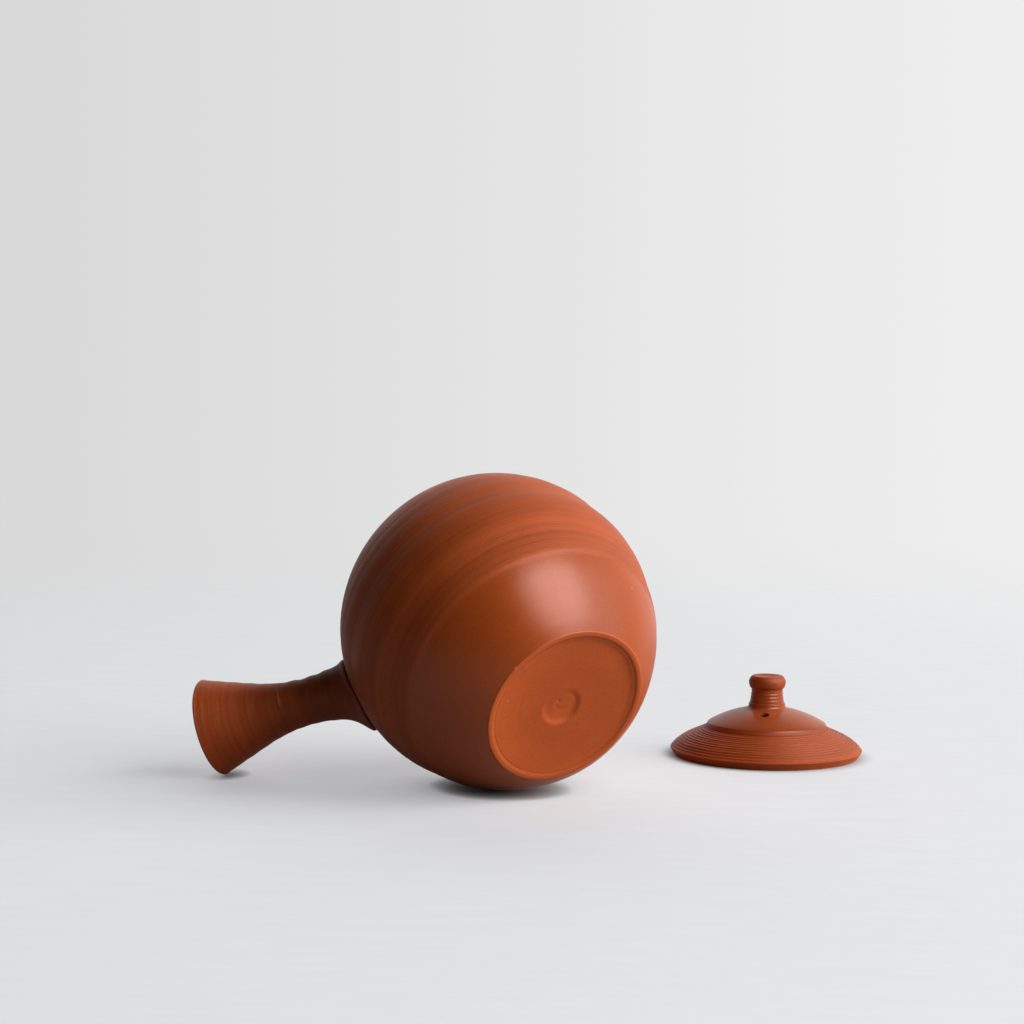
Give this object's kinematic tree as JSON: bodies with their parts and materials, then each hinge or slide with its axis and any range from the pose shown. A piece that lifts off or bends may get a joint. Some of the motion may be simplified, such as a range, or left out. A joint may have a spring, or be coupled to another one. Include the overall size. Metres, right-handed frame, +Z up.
{
  "type": "kyusu teapot",
  "caption": "Side-handled teapot of unglazed red clay with a round body, hollow flared handle, spout and inner strainer, lying on its belly beside its knobbed drop-in lid.",
  "frame": {"origin": "on the table under the middle of the box round the lying pot and its lid", "axes": "+Z up from the table, +X from the handle's end towards the lid, +Y away from the foot's side; the pot lies on its belly, handle rim and spout tip, and its own axis from foot to mouth points along (-0.465, 0.786, 0.408)"},
  "size_m": [0.2238, 0.1524, 0.1008],
  "materials": {
    "clay": "burnished unglazed red clay, satin, with fine turning lines",
    "handle_clay": "unglazed red clay, matt, with throwing rings and finger marks",
    "lid_clay": "unglazed red clay, satin dome over turned grooves",
    "strainer_clay": "unglazed red clay, matt, pierced",
    "slip": "fired joining slip, matt"
  },
  "bodies": {
    "pot": {"pot_body": "clay", "handle": "handle_clay", "handle_slip": "slip", "spout": "clay", "spout_slip": "slip", "strainer": "strainer_clay", "strainer_slip": "slip"},
    "lid": {"lid": "lid_clay", "lid_knob": "lid_clay", "knob_slip": "lid_clay"}
  },
  "joints": [
    {"name": "lid_lift", "type": "slide", "parent": "pot", "child": "lid", "axis": [0, 0, 1], "range_m": [0, 0.12]}
  ]
}
